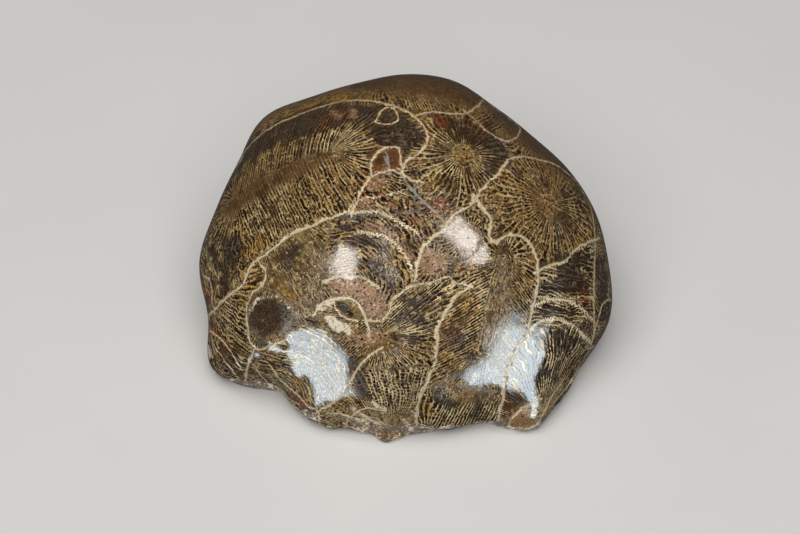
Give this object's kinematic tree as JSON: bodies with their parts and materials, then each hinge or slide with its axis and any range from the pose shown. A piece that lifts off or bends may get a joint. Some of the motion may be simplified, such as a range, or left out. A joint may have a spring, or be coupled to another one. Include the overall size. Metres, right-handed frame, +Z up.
{
  "type": "fossil coral head",
  "caption": "Polished dome of fossil coral with a broken lower edge, cut flat below so that it stands with its patterned side sloping to the front.",
  "frame": {"origin": "under the middle of the head's bounding box, on the flat cut that it stands on", "axes": "+Z up, square to the flat cut; -Y is the side that shows best; +X is to the right of a viewer who looks at that side"},
  "size_m": [0.0904, 0.0878, 0.0565],
  "materials": {
    "polished_fossil_coral": "polished stone, rough where it is broken"
  },
  "bodies": {
    "root": {"coral_head": "polished_fossil_coral"}
  },
  "joints": []
}
